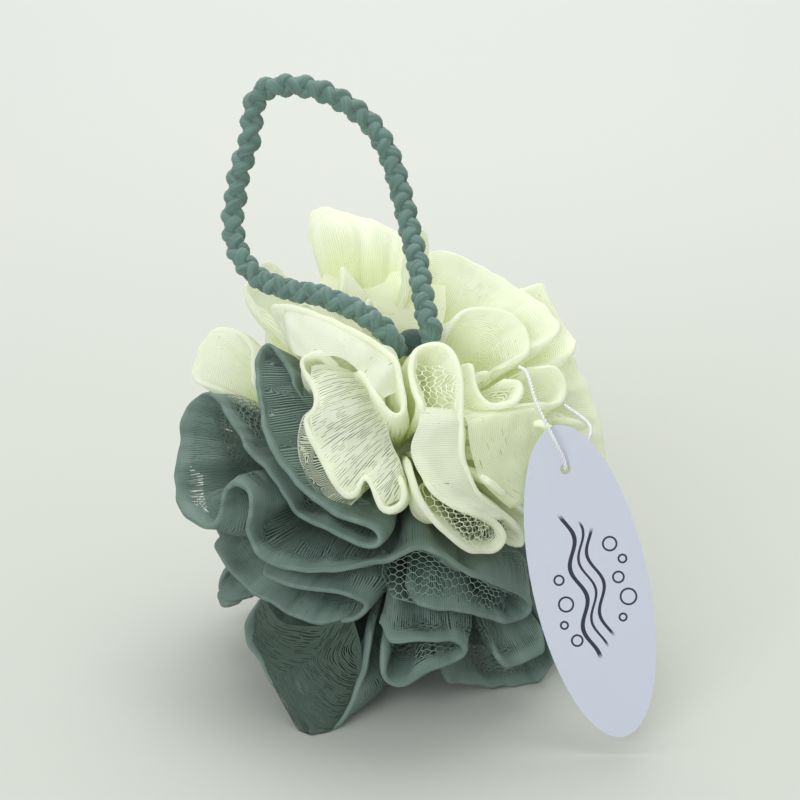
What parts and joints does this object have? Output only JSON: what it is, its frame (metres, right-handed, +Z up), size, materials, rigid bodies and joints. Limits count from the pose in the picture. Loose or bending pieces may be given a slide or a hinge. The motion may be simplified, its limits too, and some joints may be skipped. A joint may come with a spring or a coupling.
{
  "type": "bath pouf",
  "caption": "Round bath pouf of two gathered tubes of netting tied at the middle, with a braided hanging loop and an oval card tag on a string.",
  "frame": {"origin": "on the floor under the middle of the two nets' box", "axes": "+Z up, -Y toward the front, where the tag hangs to the right; +X to the right seen from the front"},
  "size_m": [0.1376, 0.1306, 0.1714],
  "materials": {
    "cream_netting": "fine knitted netting, soft sheen",
    "sage_netting": "fine knitted netting, soft sheen",
    "tie_cord": "twisted cord",
    "braided_cord": "round braid, matt",
    "tag_card": "smooth coated card",
    "white_thread": "two-ply twist"
  },
  "bodies": {
    "root": {"cream_net": "cream_netting", "sage_net": "sage_netting", "binding_tie": "tie_cord", "hanging_cord": "braided_cord", "cord_knot": "braided_cord", "swing_tag": "tag_card", "tag_string": "white_thread"}
  },
  "joints": []
}
